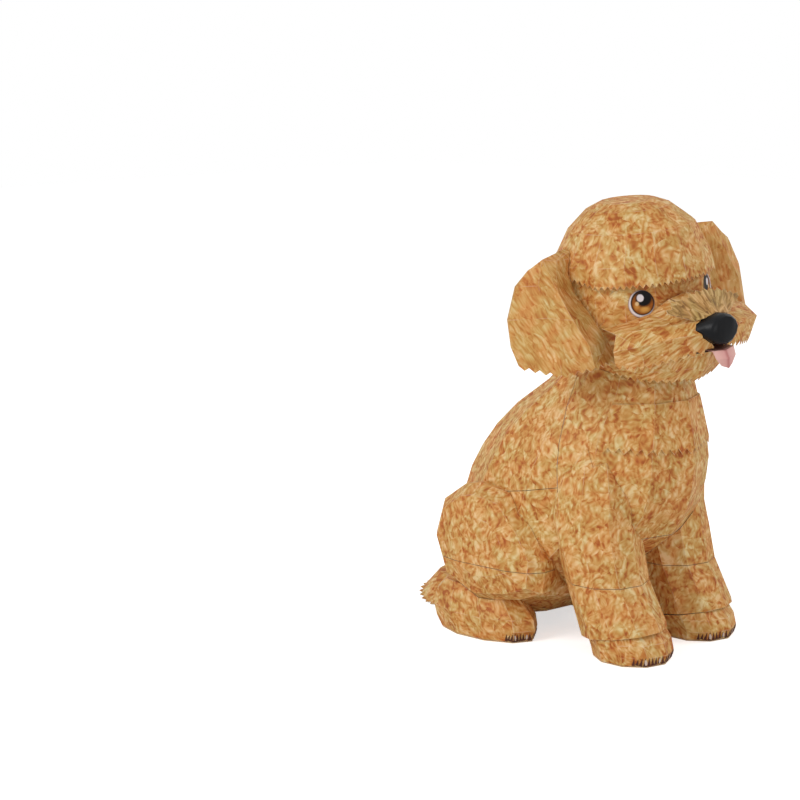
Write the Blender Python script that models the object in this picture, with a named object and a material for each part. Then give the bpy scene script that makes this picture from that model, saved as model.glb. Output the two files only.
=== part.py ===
# Seated toy dog made of cut, scored, folded and glued printed card.
# The dog faces -Y, its right side is -X, and its paws stand on z = 0.
# Sizes are millimetres and degrees; MM turns them into metres when a mesh is made.
import math

import bmesh
import bpy
from mathutils import Matrix, Vector

MM = 0.001

# Card and how closely two glued pieces lie.
CARD = 0.35
GAP = 0.3

# Trunk: it rises from the waist seam to the neck.
TRUNK_SIDES = 12
WAIST_Z = 69.0
WAIST_Y = 85.0
WAIST_SLOPE = 10.7
CHEST_FRONT = 53.0
BACK_REACH = 87.0
TRUNK_HALF_WIDTH = 48.5
SIDE_SEAM_Y = -2.0
CHEST_SEAM_Z = 58.0

# Rump: the wide lower half that the dog sits on.
SEAT_Z = 10.0
RUMP_HALF_WIDTH = 51.0
RUMP_BACK = 99.0

# Forelegs.
LEG_X = 28.5
LEG_RADIUS = 21.5
SHOULDER_Z = 118.0
KNEE_SEAM_Z = 38.0
PAW_SEAM_Z = 13.0
PAW_SEAM_SLOPE = 9.0
PAW_LENGTH = 44.0
PAW_HALF_WIDTH = 18.5
PAW_X = 27.5
PAW_FRONT_Y = -57.0

# Hind legs.
THIGH_OUT = 58.0
THIGH_Y = 40.0
THIGH_Z = 50.0
SHANK_SEAM_Z = 41.0
FOOT_LENGTH = 66.0
FOOT_HALF_WIDTH = 16.0
FOOT_X = 39.0
FOOT_FRONT_Y = 19.0
FOOT_HEIGHT = 19.0

# Head, in its own frame: its centre is the origin there, and it faces -Y.
HEAD_Y = -15.0
HEAD_Z = 180.0
NECK_DROP = 30.0
HEAD_TURN = 13.0
HEAD_TILT = 6.5
HEAD_SIDES = 16
HEAD_HALF_WIDTH = 39.0
CROWN_HEIGHT = 46.5
CROWN_CLEARANCE = 1.5
FRINGE_REACH = 41.5
FRINGE_Z = 11.0
FRINGE_TEETH = 5
MUZZLE_REACH = 60.0
MUZZLE_HALF_WIDTH = 43.0
NOSE_HALF_WIDTH = 10.5
NOSE_HEIGHT = 15.6
NOSE_LENGTH = 13.0
NOSE_Z = -12.0
TONGUE_WIDTH = 13.5
TONGUE_LENGTH = 9.0
EAR_SPREAD = 75.5
EAR_ROOT_DEPTH = 6.0
EAR_DROP = 33.0
EAR_BACK_DROP = 7.0

# Saw-tooth fur edges.
TOOTH = 3.0
TOOTH_FINE = 2.0

# Tail: a domed leaf that lies on the floor.
TAIL_TUCK = 0.3
TAIL_LENGTH = 49.0
TAIL_HALF_WIDTH = 21.0
TAIL_RISE = 18.0
TAIL_TIP_Z = 5.5
TAIL_SIDES = 16

CARD_COLOUR = (0.80, 0.50, 0.20, 1.0)
NOSE_COLOUR = (0.012, 0.012, 0.013, 1.0)
TONGUE_COLOUR = (0.78, 0.33, 0.33, 1.0)
MOUTH_COLOUR = (0.05, 0.02, 0.015, 1.0)
HUGE = 400.0


def clear_scene():
    for obj in list(bpy.data.objects):
        bpy.data.objects.remove(obj, do_unlink=True)


def card_material(name, colour, roughness=0.6):
    mat = bpy.data.materials.new(name)
    mat.use_nodes = True
    shader = mat.node_tree.nodes["Principled BSDF"]
    shader.inputs["Base Color"].default_value = colour
    shader.inputs["Roughness"].default_value = roughness
    shader.inputs["Metallic"].default_value = 0.0
    return mat


def add_object(name, bm, colour=CARD_COLOUR):
    mesh = bpy.data.meshes.new(name)
    bm.to_mesh(mesh)
    bm.free()
    mesh.materials.append(card_material(name, colour))
    obj = bpy.data.objects.new(name, mesh)
    bpy.context.scene.collection.objects.link(obj)
    return obj


def as_cutter(name, bm):
    obj = add_object(name, bm)
    obj.hide_render = True
    obj.display_type = "WIRE"
    return obj


def cut(obj, *cutters):
    for cutter in cutters:
        mod = obj.modifiers.new(cutter.name, "BOOLEAN")
        mod.operation = "DIFFERENCE"
        mod.solver = "EXACT"
        mod.object = cutter
    return obj


def ring(z, front, back, half, sides, x=0.0):
    """A level polygon from y = front to y = back, with a corner at the front."""
    middle = (front + back) / 2
    depth = (back - front) / 2
    points = []
    for i in range(sides):
        angle = math.tau * i / sides
        points.append(Vector((x + half * math.sin(angle), middle - depth * math.cos(angle), z)))
    return points


def loft(rings):
    """A closed form through rings of equal count, with flat ends."""
    bm = bmesh.new()
    loops = [[bm.verts.new(Vector(p) * MM) for p in points] for points in rings]
    count = len(loops[0])
    for low, high in zip(loops, loops[1:]):
        for i in range(count):
            j = (i + 1) % count
            bm.faces.new((low[i], low[j], high[j], high[i]))
    bm.faces.new(list(reversed(loops[0])))
    bm.faces.new(loops[-1])
    bmesh.ops.recalc_face_normals(bm, faces=bm.faces)
    bmesh.ops.triangulate(bm, faces=bm.faces)
    return bm


def grown(source, distance):
    """A copy of a form with every face moved outward by the distance."""
    bm = source.copy()
    bm.normal_update()
    moves = [(v, v.normal * distance * MM * min(v.calc_shell_factor(), 2.5)) for v in bm.verts]
    for vert, move in moves:
        vert.co += move
    return bm


def walled(source):
    """The form as a closed card wall around a hollow."""
    outer = source.copy()
    inner = grown(source, -CARD)
    bmesh.ops.reverse_faces(inner, faces=inner.faces)
    mesh = bpy.data.meshes.new("inner")
    inner.to_mesh(mesh)
    inner.free()
    outer.from_mesh(mesh)
    bpy.data.meshes.remove(mesh)
    return outer


def slab(low, high, matrix=Matrix.Identity(4)):
    """A box from its lowest to its highest corner, then placed by the matrix."""
    bm = bmesh.new()
    low, high = Vector(low), Vector(high)
    size = (high - low) * MM
    place = Matrix.Translation((low + high) / 2 * MM) @ Matrix.Diagonal((*size, 1.0))
    bmesh.ops.create_cube(bm, size=1.0, matrix=place)
    bm.transform(matrix)
    return bm


def fringe(bm, start, end, away, count, depth):
    """Saw teeth on the edge from one vertex to the next; returns the new points along that edge."""
    along = [start]
    along += [bm.verts.new(start.co.lerp(end.co, k / count)) for k in range(1, count)]
    along.append(end)
    for left, right in zip(along, along[1:]):
        tip = bm.verts.new((left.co + right.co) / 2 + away * depth * MM)
        bm.faces.new((right, left, tip))
    return along[1:-1]


def patch(rows, teeth=0, depth=TOOTH, side_teeth=0, side_depth=TOOTH_FINE):
    """An open sheet through rows of points; teeth per bay cut its last row into fur."""
    rows = [[Vector(p) for p in row] for row in rows]
    bm = bmesh.new()
    grid = [[bm.verts.new(p * MM) for p in row] for row in rows]
    columns = len(rows[0])
    for r in range(len(rows) - 1):
        for c in range(columns - 1):
            high, low = rows[r], rows[r + 1]
            before, after, beneath = [], [], []
            if side_teeth and c == 0:
                out = (high[0] - high[1] + low[0] - low[1]).normalized()
                before = fringe(bm, grid[r + 1][0], grid[r][0], out, side_teeth, side_depth)
            if side_teeth and c == columns - 2:
                out = (high[-1] - high[-2] + low[-1] - low[-2]).normalized()
                after = fringe(bm, grid[r][-1], grid[r + 1][-1], out, side_teeth, side_depth)
            if teeth and r == len(rows) - 2:
                out = (low[c] - high[c] + low[c + 1] - high[c + 1]).normalized()
                beneath = fringe(bm, grid[-1][c + 1], grid[-1][c], out, teeth, depth)
            bm.faces.new(before + [grid[r][c], grid[r][c + 1]] + after
                         + [grid[r + 1][c + 1]] + beneath + [grid[r + 1][c]])
    bmesh.ops.triangulate(bm, faces=bm.faces)
    bm.normal_update()
    return bm


def sheet(name, bm, matrix=Matrix.Identity(4), flip=False, colour=CARD_COLOUR, thick=CARD):
    """A patch given the card's thickness, with its printed face where the patch lies."""
    bmesh.ops.transform(bm, matrix=matrix, verts=bm.verts)
    if flip:
        bmesh.ops.reverse_faces(bm, faces=bm.faces)
    obj = add_object(name, bm, colour)
    mod = obj.modifiers.new("card", "SOLIDIFY")
    mod.thickness = thick * MM
    mod.offset = -1.0
    mod.use_even_offset = True
    return obj


def mirrored(rows):
    return [[Vector((-p[0], p[1], p[2])) for p in row] for row in rows]


def waist_matrix():
    pivot = Matrix.Translation(Vector((0.0, WAIST_Y, WAIST_Z)) * MM)
    return pivot @ Matrix.Rotation(math.radians(-WAIST_SLOPE), 4, "X")


def body_rings(out=0.0):
    """Level rings of the whole body, from the seat to the neck."""
    width, rear, rise = RUMP_HALF_WIDTH, RUMP_BACK, WAIST_Z - SEAT_Z
    low = [(0.0, 26.0, rear - 20, width - 16), (0.22, 5.0, rear - 5, width - 4),
           (0.54, -18.0, rear, width), (0.80, -38.0, rear - 3, width)]
    half, front, back = TRUNK_HALF_WIDTH, -CHEST_FRONT, BACK_REACH
    high = [(0.04, front + 5, back + 0.5, half + 0.5), (0.18, front + 1.5, back - 4, half + 0.5),
            (0.33, front, back - 12, half), (0.48, front + 1.5, back - 22, half - 2.5),
            (0.63, front + 4, back - 35, half - 8), (0.80, front + 7, back - 55, half - 14.5),
            (1.0, front + 12, back - 72, half - 20.5)]
    neck = HEAD_Z - NECK_DROP - WAIST_Z
    levels = [SEAT_Z + t[0] * rise for t in low] + [WAIST_Z + t[0] * neck for t in high]
    return [ring(z, f - out, b + out, h + out, TRUNK_SIDES)
            for z, (_, f, b, h) in zip(levels, low + high)]


def build_trunk(body, head_clear):
    below = slab((-HUGE, -HUGE, -HUGE), (HUGE, HUGE, GAP / 2), waist_matrix())
    below = as_cutter("cut_below_waist", below)
    ahead = as_cutter("cut_ahead", slab((-HUGE, -HUGE, -HUGE), (HUGE, SIDE_SEAM_Y + GAP, HUGE)))
    behind = as_cutter("cut_behind", slab((-HUGE, SIDE_SEAM_Y, -HUGE), (HUGE, HUGE, HUGE)))
    left = as_cutter("cut_left", slab((-GAP / 2, -HUGE, -HUGE), (HUGE, HUGE, HUGE)))
    right = as_cutter("cut_right", slab((-HUGE, -HUGE, -HUGE), (GAP / 2, HUGE, HUGE)))
    under = (-HUGE, -HUGE, -HUGE), (HUGE, HUGE, CHEST_SEAM_Z + GAP)
    cut(add_object("chest", walled(body)), as_cutter("cut_below_chest", slab(*under)), behind, head_clear)
    cut(add_object("back_right", walled(body)), below, ahead, left, head_clear)
    cut(add_object("back_left", walled(body)), below, ahead, right, head_clear)
    return left, right


def build_rump(body, left, right):
    above = slab((-HUGE, -HUGE, -GAP / 2), (HUGE, HUGE, HUGE), waist_matrix())
    above = as_cutter("cut_above_waist", above)
    floor = as_cutter("cut_seat", slab((-HUGE, -HUGE, -HUGE), (HUGE, HUGE, SEAT_Z + CARD)))
    ahead = slab((-HUGE, -HUGE, -HUGE), (HUGE, SIDE_SEAM_Y + GAP, HUGE))
    ahead = as_cutter("cut_belly_ahead", ahead)
    behind = as_cutter("cut_belly_behind", slab((-HUGE, SIDE_SEAM_Y, -HUGE), (HUGE, HUGE, HUGE)))
    over = as_cutter("cut_above_belly", slab((-HUGE, -HUGE, CHEST_SEAM_Z), (HUGE, HUGE, HUGE)))
    cut(add_object("belly", walled(body)), over, behind, floor)
    cut(add_object("rump_right", walled(body)), above, ahead, left, floor)
    cut(add_object("rump_left", walled(body)), above, ahead, right, floor)
    outline = body_rings()[0]
    low = [p + Vector((0, 0, -GAP)) for p in outline]
    high = [p + Vector((0, 0, CARD - GAP)) for p in outline]
    seat = loft([low, high])
    seat_clear = as_cutter("clear_seat", grown(seat, GAP))
    add_object("seat", seat)
    return seat_clear


def build_chest_ruff(leg_clear):
    """The fur bib: a second layer of card that lies on the chest."""
    rings = body_rings(GAP + CARD + 0.5)
    columns = [-2, -1, 0, 1, 2]
    top = [rings[-2][c].lerp(rings[-3][c], 0.4) for c in columns]
    middle = [rings[-3][c] for c in columns]
    low = [rings[-4][c].lerp(rings[-5][c], 0.25 * (2 - abs(c)) / 2) for c in columns]
    ruff = sheet("chest_ruff", patch([top, middle, low], teeth=5, depth=TOOTH), flip=True)
    cut(ruff, *leg_clear)


def foreleg_rings(side):
    r = LEG_RADIUS
    profile = [
        (PAW_SEAM_Z - 9.0, -33.0, r - 3, r + 2), (PAW_SEAM_Z + 5.0, -29.0, r - 1, r + 2),
        (KNEE_SEAM_Z, -20.0, r - 1, r), (KNEE_SEAM_Z + 17.0, -15.0, r, r + 1),
        (SHOULDER_Z - 50.0, -10.5, r - 1, r + 3), (SHOULDER_Z - 36.0, -11.5, r - 1.5, r + 2),
        (SHOULDER_Z - 24.0, -12.5, r - 4, r - 2), (SHOULDER_Z - 11.0, -13.0, r - 8, r - 7),
        (SHOULDER_Z, -13.0, r - 14, r - 13)]
    return [ring(z, y - b, y + b, a, 10, side * LEG_X) for z, y, a, b in profile]


def paw_rings(side):
    front, back = PAW_FRONT_Y, PAW_FRONT_Y + PAW_LENGTH
    x = side * PAW_X
    return [ring(0.0, front + 1.5, back - 1, PAW_HALF_WIDTH - 1, 10, x),
            ring(5.0, front, back, PAW_HALF_WIDTH, 10, x),
            ring(11.0, front + 2, back + 2, PAW_HALF_WIDTH + 1, 10, x),
            ring(20.0, front + 10, back + 3, PAW_HALF_WIDTH + 1, 10, x),
            ring(26.0, front + 16, back + 3, PAW_HALF_WIDTH, 10, x)]


def paw_plane():
    pivot = Matrix.Translation(Vector((0.0, -34.0, PAW_SEAM_Z)) * MM)
    return pivot @ Matrix.Rotation(math.radians(-PAW_SEAM_SLOPE), 4, "X")


def build_forelegs(body_clear, floor):
    seam = KNEE_SEAM_Z
    over_knee = as_cutter("cut_over_knee", slab((-HUGE, -HUGE, seam), (HUGE, HUGE, HUGE)))
    under_knee = as_cutter("cut_under_knee", slab((-HUGE, -HUGE, -HUGE), (HUGE, HUGE, seam + GAP)))
    over_paw = slab((-HUGE, -HUGE, -GAP / 2), (HUGE, HUGE, HUGE), paw_plane())
    over_paw = as_cutter("cut_over_paw", over_paw)
    under_paw = slab((-HUGE, -HUGE, -HUGE), (HUGE, HUGE, GAP / 2), paw_plane())
    under_paw = as_cutter("cut_under_paw", under_paw)
    clear = []
    for side, word in ((-1, "right"), (1, "left")):
        leg = loft(foreleg_rings(side))
        clear.append(as_cutter("clear_foreleg_" + word, grown(leg, GAP)))
        cut(add_object("upper_foreleg_" + word, walled(leg)), under_knee, body_clear)
        cut(add_object("lower_foreleg_" + word, walled(leg)), over_knee, under_paw, body_clear)
        paw = loft(paw_rings(side))
        cut(add_object("forepaw_" + word, walled(paw)), over_paw, floor)
        sole = paw_rings(side)[0]
        add_object("forepaw_sole_" + word, loft([sole, [p + Vector((0, 0, CARD)) for p in sole]]))
    return clear


def thigh_form(side):
    """Rings that stand upright, from inside the rump out to the flank."""
    outline = [(17, 30), (7, 32), (-12, 29), (-26, 14), (-36, -3), (-34, -20), (-18, -26),
               (8, -30), (30, -20), (38, 2), (32, 20)]
    stations = [(THIGH_OUT - 30, 0.98), (THIGH_OUT - 10, 1.0), (THIGH_OUT - 3, 0.84),
                (THIGH_OUT, 0.5)]
    rings = []
    for x, scale in stations:
        rings.append([Vector((side * x, THIGH_Y + y * scale, THIGH_Z + z * scale))
                      for y, z in outline])
    return loft(rings)


def foot_rings(side):
    front, back = FOOT_FRONT_Y, FOOT_FRONT_Y + FOOT_LENGTH
    x = side * FOOT_X
    return [ring(0.0, front + 2, back - 4, FOOT_HALF_WIDTH - 1, 10, x),
            ring(6.0, front, back, FOOT_HALF_WIDTH, 10, x),
            ring(FOOT_HEIGHT - 7, front + 1, back + 2, FOOT_HALF_WIDTH, 10, x),
            ring(FOOT_HEIGHT, front + 8, back + 1, FOOT_HALF_WIDTH - 3, 10, x),
            ring(FOOT_HEIGHT + 7, front + 16, back - 6, FOOT_HALF_WIDTH - 6, 10, x)]


def build_hind_legs(body_clear, seat_clear, floor):
    seam = SHANK_SEAM_Z
    over_shank = as_cutter("cut_over_shank", slab((-HUGE, -HUGE, seam), (HUGE, HUGE, HUGE)))
    under_thigh = as_cutter("cut_under_thigh", slab((-HUGE, -HUGE, -HUGE), (HUGE, HUGE, seam + GAP)))
    for side, word in ((-1, "right"), (1, "left")):
        thigh = thigh_form(side)
        thigh_clear = as_cutter("clear_thigh_" + word, grown(thigh, GAP))
        cut(add_object("thigh_" + word, walled(thigh)), body_clear, under_thigh)
        cut(add_object("shank_" + word, walled(thigh)), body_clear, over_shank)
        foot = loft(foot_rings(side))
        cut(add_object("hind_foot_" + word, walled(foot)), body_clear, thigh_clear, seat_clear, floor)
        sole = foot_rings(side)[0]
        add_object("hind_sole_" + word, loft([sole, [p + Vector((0, 0, CARD)) for p in sole]]))


def head_pose():
    turn = Matrix.Rotation(math.radians(-HEAD_TURN), 4, "Z")
    tilt = Matrix.Rotation(math.radians(-HEAD_TILT), 4, "Y")
    return Matrix.Translation(Vector((0.0, HEAD_Y, HEAD_Z)) * MM) @ turn @ tilt


def skull_rings(out=0.0):
    half = HEAD_HALF_WIDTH
    profile = [(-37.0, -30.0, 28.0, half - 9), (-27.0, -36.0, 35.0, half - 3),
               (-12.0, -37.0, 38.0, half), (4.0, -37.0, 38.5, half), (16.0, -36.0, 38.0, half - 1),
               (26.0, -31.0, 34.0, half - 5)]
    return [ring(z, f - out, b + out, h + out, HEAD_SIDES) for z, f, b, h in profile]


def build_skull(pose):
    """Head core: the sides and back under the crown, ears and face."""
    skull = loft(skull_rings())
    skull.transform(pose)
    open_top = as_cutter("cut_skull_top", slab((-HUGE, -HUGE, 22.0), (HUGE, HUGE, HUGE), pose))
    cut(add_object("head_core", walled(skull)), open_top)
    return skull


def build_crown(pose):
    """The dome of the head: its front edge is a saw-tooth fringe over the eyes."""
    top, half, reach = CROWN_HEIGHT, HEAD_HALF_WIDTH + CROWN_CLEARANCE, FRINGE_REACH
    rows = []
    for z, f, b, h in ((top, -15.0, 14.0, 14.0), (top - 3, -23.0, 21.0, 21.0),
                       (top - 12, -35.0, 31.0, half - 9.5), (top - 27, -reach + 2, 39.0, half - 1)):
        rows.append(ring(z, f, b, h, HEAD_SIDES))
    edge = []
    for i, p in enumerate(ring(12.0, -reach, half - 0.5, half, HEAD_SIDES)):
        away = min(i, HEAD_SIDES - i)
        edge.append(Vector((p.x, p.y, FRINGE_Z if away < 4 else FRINGE_Z + 4 if away < 6 else 6.0)))
    rows.append(edge)
    bm = bmesh.new()
    grid = [[bm.verts.new(p * MM) for p in row] for row in rows]
    bm.faces.new(grid[0])
    for r in range(len(rows) - 1):
        for c in range(HEAD_SIDES):
            d = (c + 1) % HEAD_SIDES
            teeth = []
            if r == len(rows) - 2 and (c < 4 or c >= HEAD_SIDES - 4):
                out = (rows[r + 1][c] - rows[r][c] + rows[r + 1][d] - rows[r][d]).normalized()
                teeth = fringe(bm, grid[r + 1][c], grid[r + 1][d], out, FRINGE_TEETH, TOOTH_FINE)
            bm.faces.new([grid[r + 1][c]] + teeth + [grid[r + 1][d], grid[r][d], grid[r][c]])
    bmesh.ops.recalc_face_normals(bm, faces=bm.faces)
    bmesh.ops.triangulate(bm, faces=bm.faces)
    bm.normal_update()
    up = max(bm.faces, key=lambda f: f.calc_center_median().z)
    sheet("crown", bm, pose, flip=up.normal.z < 0)
    form = loft(rows)
    form.transform(pose)
    return as_cutter("clear_crown", grown(form, GAP))


def build_face(pose):
    """The face mask: one layer of card glued on the core, its rear edges cut into fur."""
    rings = skull_rings(GAP + CARD)
    columns = [-3, -2, -1, 0, 1, 2, 3]
    rows = [[rings[r][c] for c in columns] for r in (4, 3, 2, 1)]
    for row, pull in zip(rows, (0.8, 0.6, 0.1, 0.0)):
        row[0], row[-1] = row[0].lerp(row[1], pull), row[-1].lerp(row[-2], pull)
    sheet("face", patch(rows, side_teeth=3), pose, flip=True)


def on_head(x, z, layers):
    """A point on the front of the head, that many glued layers of card above the core."""
    out = layers * (GAP + CARD)
    depth = HEAD_HALF_WIDTH - 1.5 + out
    return Vector((x, 0.5 - depth * math.sqrt(1.0 - (x / (HEAD_HALF_WIDTH + out)) ** 2), z))


def build_muzzle(pose, nose_clear):
    """Each side of the muzzle is one folded fan; the bridge lies between them and meets the crest."""
    reach, half = MUZZLE_REACH, MUZZLE_HALF_WIDTH
    fan = [
        [on_head(-9, 1.5, 2), on_head(-19, -4.5, 2), on_head(-28.5, -7.5, 2), on_head(-36, -10, 2)],
        [(-5, -reach, -7), (-17, -reach + 8, -8), (-half + 14, -reach + 16, -8.5),
         (-half + 2, -reach + 26, -10)],
        [(-9, -reach - 1, -13), (-24, -reach + 5, -13), (-half + 5, -reach + 13, -15),
         (-half - 2, -reach + 24, -17)],
        [(-3.0, -reach - 0.5, -20.5), (-20, -reach + 6, -22.5), (-half + 9, -reach + 15, -25),
         (-half, -reach + 26, -24)]]
    fan = [[Vector(p) for p in row] for row in fan]
    right = sheet("moustache_right", patch(fan, teeth=4, depth=TOOTH), pose, flip=True)
    left = sheet("moustache_left", patch(mirrored(fan), teeth=4, depth=TOOTH), pose)
    rows = []
    for row, top in ((fan[0], on_head(0, 3.5, 3)), (fan[1], Vector((0, -reach, -6.0)))):
        edge = row[0] + Vector((GAP + CARD + 0.1, 0.0, GAP))
        rows.append([edge, top] + mirrored([[edge]])[0])
    bridge = sheet("muzzle_bridge", patch(rows), pose, flip=True)
    mouth_gap = TONGUE_WIDTH / 2 + GAP * 2
    tongue_clear = slab((-mouth_gap, -reach - 15, -40), (mouth_gap, -reach + 9, -21.2), pose)
    tongue_clear = as_cutter("clear_tongue", tongue_clear)
    for piece in (right, left):
        cut(piece, nose_clear, tongue_clear)
    cut(bridge, nose_clear)
    crest_low = [(-11, -reach + 3.1, -6.8), (-6, -reach - 0.2, -5.6), (0, -reach - 1.2, -5.2),
                 (6, -reach - 0.2, -5.6), (11, -reach + 3.1, -6.8)]
    crest_top = [(-23, -reach + 8, -1.5), (-13, -reach + 9, 3.0), (0, -reach + 9, 5.0),
                 (13, -reach + 9, 3.0), (23, -reach + 8, -1.5)]
    crest = patch([crest_low, crest_top], teeth=3, depth=TOOTH_FINE)
    cut(sheet("nose_crest", crest, pose), nose_clear)
    chin = [[(30, 26, -26), (17, 11, -24), (0, 5.2, -24)],
            [(30, 28, -31), (17, 15, -31.5), (0, 10, -32)],
            [(27, 30, -35), (15, 20, -37), (0, 16, -38.5)]]
    cheek = [ring[3] for ring in skull_rings(2 * (GAP + CARD))]
    ends = (cheek[1].lerp(cheek[2], 0.13), cheek[1].lerp(cheek[0], 0.25), cheek[1].lerp(cheek[0], 0.5))
    for row, end in zip(chin, ends):
        row[:] = [end] + [Vector((x, y - reach, z)) for x, y, z in row]
    chin = [mirrored([row[:3]])[0] + row[::-1] for row in chin]
    sheet("chin", patch(chin, teeth=4, depth=TOOTH), pose)


def build_nose_and_mouth(pose):
    wide, tall, deep = NOSE_HALF_WIDTH, NOSE_HEIGHT / 2, NOSE_LENGTH
    back = -MUZZLE_REACH + 6.0
    rings = []
    for along, across, high, lift in ((0.0, 1.12, 0.35, 2.3), (0.3, 1.10, 0.78, 1.0), (0.6, 0.98, 1.0, 0.0),
                                      (0.88, 0.86, 0.98, 0.0), (1.0, 0.70, 0.80, 0.3)):
        points = []
        for k in range(12):
            angle = math.tau * k / 12
            z = lift + tall * high * math.copysign(abs(math.cos(angle)) ** 1.2, math.cos(angle))
            points.append(Vector((wide * across * math.sin(angle), back - deep * along, NOSE_Z + z)))
        rings.append(points)
    nose = loft(rings)
    nose.transform(pose)
    nose_clear = as_cutter("clear_nose", grown(nose, GAP))
    behind = slab((-HUGE, back - CARD - GAP, -HUGE), (HUGE, HUGE, HUGE), pose)
    cut(add_object("nose", walled(nose), NOSE_COLOUR), as_cutter("cut_nose_back", behind))
    half = TONGUE_WIDTH / 2
    reach, drop = -MUZZLE_REACH, TONGUE_LENGTH
    tongue = [
        [(-half, reach + 8.4, -21.5), (0, reach + 6.6, -22.0), (half, reach + 8.4, -21.5)],
        [(-half, reach - 3.8, -21.6), (0, reach - 5.5, -22.4), (half, reach - 3.8, -21.6)],
        [(-half + 0.5, reach - 5.4, -22.0 - drop * 0.4), (0, reach - 7.2, -22.6 - drop * 0.4),
         (half - 0.5, reach - 5.4, -22.0 - drop * 0.4)],
        [(-3.4, reach - 5.6, -21.5 - drop * 0.88), (0, reach - 6.8, -22.0 - drop),
         (3.4, reach - 5.6, -21.5 - drop * 0.88)]]
    sheet("tongue", patch(tongue), pose, flip=True, colour=TONGUE_COLOUR)
    lips = [
        [(-14, reach + 12, -12), (0, reach + 9, -12), (14, reach + 12, -12)],
        [(-14, reach + 11.1, -24.3), (0, reach + 7.1, -23.5), (14, reach + 11.1, -24.3)],
        [(-14, reach + 14.0, -28.5), (0, reach + 9.9, -28.5), (14, reach + 14.0, -28.5)]]
    sheet("mouth", patch(lips), pose, colour=MOUTH_COLOUR)
    return nose_clear


def build_ears(pose, head_clear, crown_clear):
    """Each ear: a folded front panel with its roof, and a rear panel; the bottom is open."""
    spread, drop, skull = EAR_SPREAD, EAR_DROP, HEAD_HALF_WIDTH
    root = -(HEAD_HALF_WIDTH + CROWN_CLEARANCE) + EAR_ROOT_DEPTH
    front = [
        [(root, 3, 23), (root, 5, 26), (root, 8, 27), (root, 12, 25.5)],
        [(-skull - 2, 0, 17), (-skull - 9, -1, 24), (-skull - 16, 0, 26), (-skull - 22, 4, 21.5)],
        [(-skull - 2.5, -5, 7), (-skull - 16, -9, 12), (-spread + 13.5, -4, 15),
         (-spread + 6.5, 5, 15)],
        [(-skull - 0.5, -14, -4), (-skull - 15, -18, -2), (-spread + 13, -10, 0),
         (-spread, 5, 0)],
        [(-skull + 2.5, -21, -16), (-skull - 11, -24, -15), (-spread + 15, -14, -15),
         (-spread + 0.5, 5, -14)],
        [(-skull + 4, -24, 9 - drop), (-skull - 9, -24, 7.5 - drop), (-spread + 14, -15, 5.5 - drop),
         (-spread + 3, 4, 10 - drop)]]
    rear = []
    inner_z = (25.0, 18.0, 10.0, 2.0, -EAR_BACK_DROP)
    for row, z in zip(front, inner_z):
        outside = Vector(row[3]) + Vector((0.6, GAP + CARD + 0.4, 0.0))
        inside = Vector((root, 15.0, z))
        rear.append([outside, outside.lerp(inside, 0.33), outside.lerp(inside, 0.66), inside])
    for rows, word, flip in ((lambda m: m, "right", True), (mirrored, "left", False)):
        for name, form in (("ear_", front), ("ear_back_", rear)):
            bm = patch(rows(form), teeth=4, depth=TOOTH_FINE)
            cut(sheet(name + word, bm, pose, flip=flip), head_clear, crown_clear)


def build_tail():
    """A domed leaf with a saw-tooth rim; it rests on the floor and its root is under the seat."""
    centre_y = body_rings()[0][TRUNK_SIDES // 2].y - TAIL_TUCK + TAIL_LENGTH * 0.55
    floor_z = CARD + 0.2
    root_z = SEAT_Z - GAP * 2 - 0.2 - floor_z
    rows = []
    for scale, height in ((0.55, 0.86), (1.0, 0.0)):
        row = []
        for k in range(TAIL_SIDES):
            angle = math.tau * k / TAIL_SIDES
            long = TAIL_LENGTH * (0.45 if math.cos(angle) > 0 else 0.55)
            lift = root_z * max(0.0, -math.cos(angle)) ** 3 + TAIL_TIP_Z * max(0.0, math.cos(angle)) ** 2
            row.append(Vector((TAIL_HALF_WIDTH * scale * math.sin(angle),
                               centre_y + long * scale * math.cos(angle),
                               floor_z + lift * (1 - height) + (TAIL_RISE - 0.6) * height)))
        rows.append(row)
    bm = bmesh.new()
    top = bm.verts.new(Vector((0.0, centre_y, TAIL_RISE)) * MM)
    grid = [[bm.verts.new(p * MM) for p in row] for row in rows]
    for c in range(TAIL_SIDES):
        d = (c + 1) % TAIL_SIDES
        bm.faces.new((top, grid[0][c], grid[0][d]))
        out = ((rows[1][c] + rows[1][d]) / 2 - Vector((0, centre_y, rows[1][c].z))).normalized()
        teeth = fringe(bm, grid[1][c], grid[1][d], out, 2, TOOTH_FINE)
        bm.faces.new([grid[1][c]] + teeth + [grid[1][d], grid[0][d], grid[0][c]])
    bmesh.ops.recalc_face_normals(bm, faces=bm.faces)
    bmesh.ops.triangulate(bm, faces=bm.faces)
    bm.normal_update()
    up = max(bm.faces, key=lambda f: f.calc_center_median().z)
    return sheet("tail", bm, flip=up.normal.z < 0)


def stand_on_origin():
    """Everything hangs from one empty that puts the middle of the plan on the origin."""
    bpy.context.view_layer.update()
    graph = bpy.context.evaluated_depsgraph_get()
    pieces = list(bpy.context.scene.objects)
    corners = []
    for obj in pieces:
        if not obj.hide_render:
            corners += [Vector(c) for c in obj.evaluated_get(graph).bound_box]
    middle = [(min(c[i] for c in corners) + max(c[i] for c in corners)) / 2 for i in (0, 1)]
    dog = bpy.data.objects.new("dog", None)
    bpy.context.scene.collection.objects.link(dog)
    dog.location = (-middle[0], -middle[1], 0.0)
    for obj in pieces:
        obj.parent = dog
    bpy.context.view_layer.update()


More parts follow.
